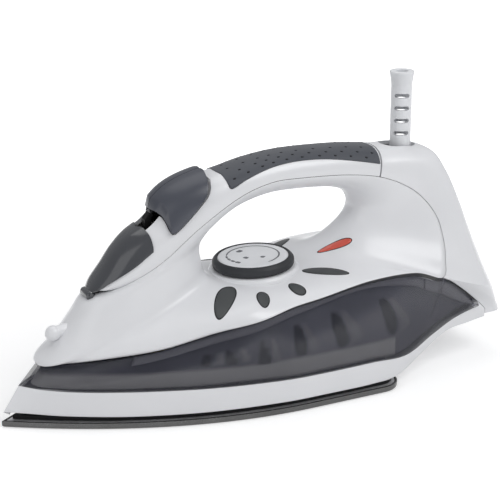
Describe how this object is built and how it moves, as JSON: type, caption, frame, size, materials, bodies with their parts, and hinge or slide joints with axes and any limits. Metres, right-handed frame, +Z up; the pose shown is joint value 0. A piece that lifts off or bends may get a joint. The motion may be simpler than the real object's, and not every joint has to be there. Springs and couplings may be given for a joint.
{
  "type": "clothes iron",
  "caption": "Steam iron with a smoke side tank, turning thermostat dial, press buttons, steam lever, hinged fill door and a swivelling cord guard.",
  "frame": {"origin": "under the middle of the length, on the ironing face, in the plane of symmetry", "axes": "+X towards the heel, -X towards the nose, +Z up from the ironing face, +Y to the left seen from the heel"},
  "size_m": [0.307, 0.114, 0.173],
  "materials": {
    "steel": "satin",
    "casting": "matte",
    "element": "satin",
    "black_plastic": "matte",
    "white_plastic": "gloss",
    "smoke_plastic": "gloss",
    "seal_rubber": "matte",
    "soft_grip": "matte",
    "grey_gloss": "gloss",
    "grey_plastic": "satin",
    "ivory_plastic": "matte",
    "brass": "satin",
    "dial_ring": "gloss",
    "dial_face": "matte",
    "ceramic": "matte",
    "guard_rubber": "satin",
    "petal_grey": "matte",
    "lens_red": "gloss",
    "lamp_glass": "gloss",
    "wire_red": "matte",
    "wire_blue": "matte"
  },
  "bodies": {
    "iron": {"soleplate_sheet": "steel", "soleplate_casting": "casting", "heating_element": "element", "steam_chamber_cover": "casting", "heat_shield": "black_plastic", "skirt": "white_plastic", "water_tank": "smoke_plastic", "tank_seal": "seal_rubber", "fill_funnel": "white_plastic", "main_housing": "white_plastic", "handle_cover": "white_plastic", "rear_cover": "white_plastic", "grip_inlay": "soft_grip", "spray_pump_body": "ivory_plastic", "steam_pump_body": "ivory_plastic", "steam_valve_seat": "brass", "spray_nozzle": "white_plastic", "thermostat_body": "ceramic", "swivel_socket": "white_plastic", "petal_1_right": "petal_grey", "petal_2_right": "petal_grey", "petal_3_right": "petal_grey", "petal_4_right": "petal_grey", "petal_1_left": "petal_grey", "petal_2_left": "petal_grey", "petal_3_left": "petal_grey", "petal_4_left": "petal_grey", "lamp_lens": "lens_red", "pilot_lamp": "lamp_glass", "door_hinge_pin": "steel", "terminal_block": "ivory_plastic", "lead_wire_right": "wire_red", "lead_wire_left": "wire_blue", "thermal_fuse": "ceramic", "suction_tube": "ivory_plastic", "steam_shot_tube": "ivory_plastic", "spray_hose": "ivory_plastic", "shield_screws": "steel"},
    "dial": {"dial_knob": "dial_ring", "dial_disc": "dial_face", "thermostat_spindle": "steel"},
    "spray_key": {"spray_button": "grey_plastic", "spray_pump_piston": "ivory_plastic", "spray_button_spring": "steel"},
    "steam_key": {"steam_button": "grey_plastic", "steam_pump_piston": "ivory_plastic", "steam_button_spring": "steel"},
    "lever": {"steam_lever": "black_plastic"},
    "valve": {"steam_valve_rod": "brass"},
    "door": {"fill_door": "grey_gloss"},
    "swivel": {"swivel_ball": "white_plastic"},
    "guard": {"cord_guard": "guard_rubber"}
  },
  "joints": [
    {"name": "dial_turn", "type": "hinge", "parent": "iron", "child": "dial", "pos_m": [0.001, 0, 0.0682], "axis": [-0.0523, 0, 0.9986], "range_deg": [0, 270]},
    {"name": "spray_press", "type": "slide", "parent": "iron", "child": "spray_key", "axis": [0, 0, -1], "range_m": [0, 0.002], "stiffness_N_per_m": 900, "springref_m": -0.002, "deforming": ["spray_button_spring"]},
    {"name": "steam_press", "type": "slide", "parent": "iron", "child": "steam_key", "axis": [0, 0, -1], "range_m": [0, 0.002], "stiffness_N_per_m": 900, "springref_m": -0.002, "deforming": ["steam_button_spring"]},
    {"name": "lever_turn", "type": "hinge", "parent": "iron", "child": "lever", "pos_m": [-0.0585, 0, 0.097], "axis": [0, 0, 1], "range_deg": [0, 35]},
    {"name": "valve_lift", "type": "slide", "parent": "iron", "child": "valve", "axis": [0, 0, 1], "range_m": [0, 0.0025]},
    {"name": "door_open", "type": "hinge", "parent": "iron", "child": "door", "pos_m": [-0.1013, 0, 0.0694], "axis": [0, -1, 0], "range_deg": [0, 60]},
    {"name": "swivel_tilt", "type": "hinge", "parent": "iron", "child": "swivel", "pos_m": [0.0985, 0, 0.118], "axis": [0, 1, 0], "range_deg": [-25, 5]},
    {"name": "guard_spin", "type": "hinge", "parent": "swivel", "child": "guard", "pos_m": [0.0985, 0, 0.118], "axis": [0, 0, 1], "range_deg": [-180, 180]}
  ],
  "couplings": [
    {"joint": "lever_turn", "follows": "valve_lift", "rad_per_m": 244.35}
  ]
}
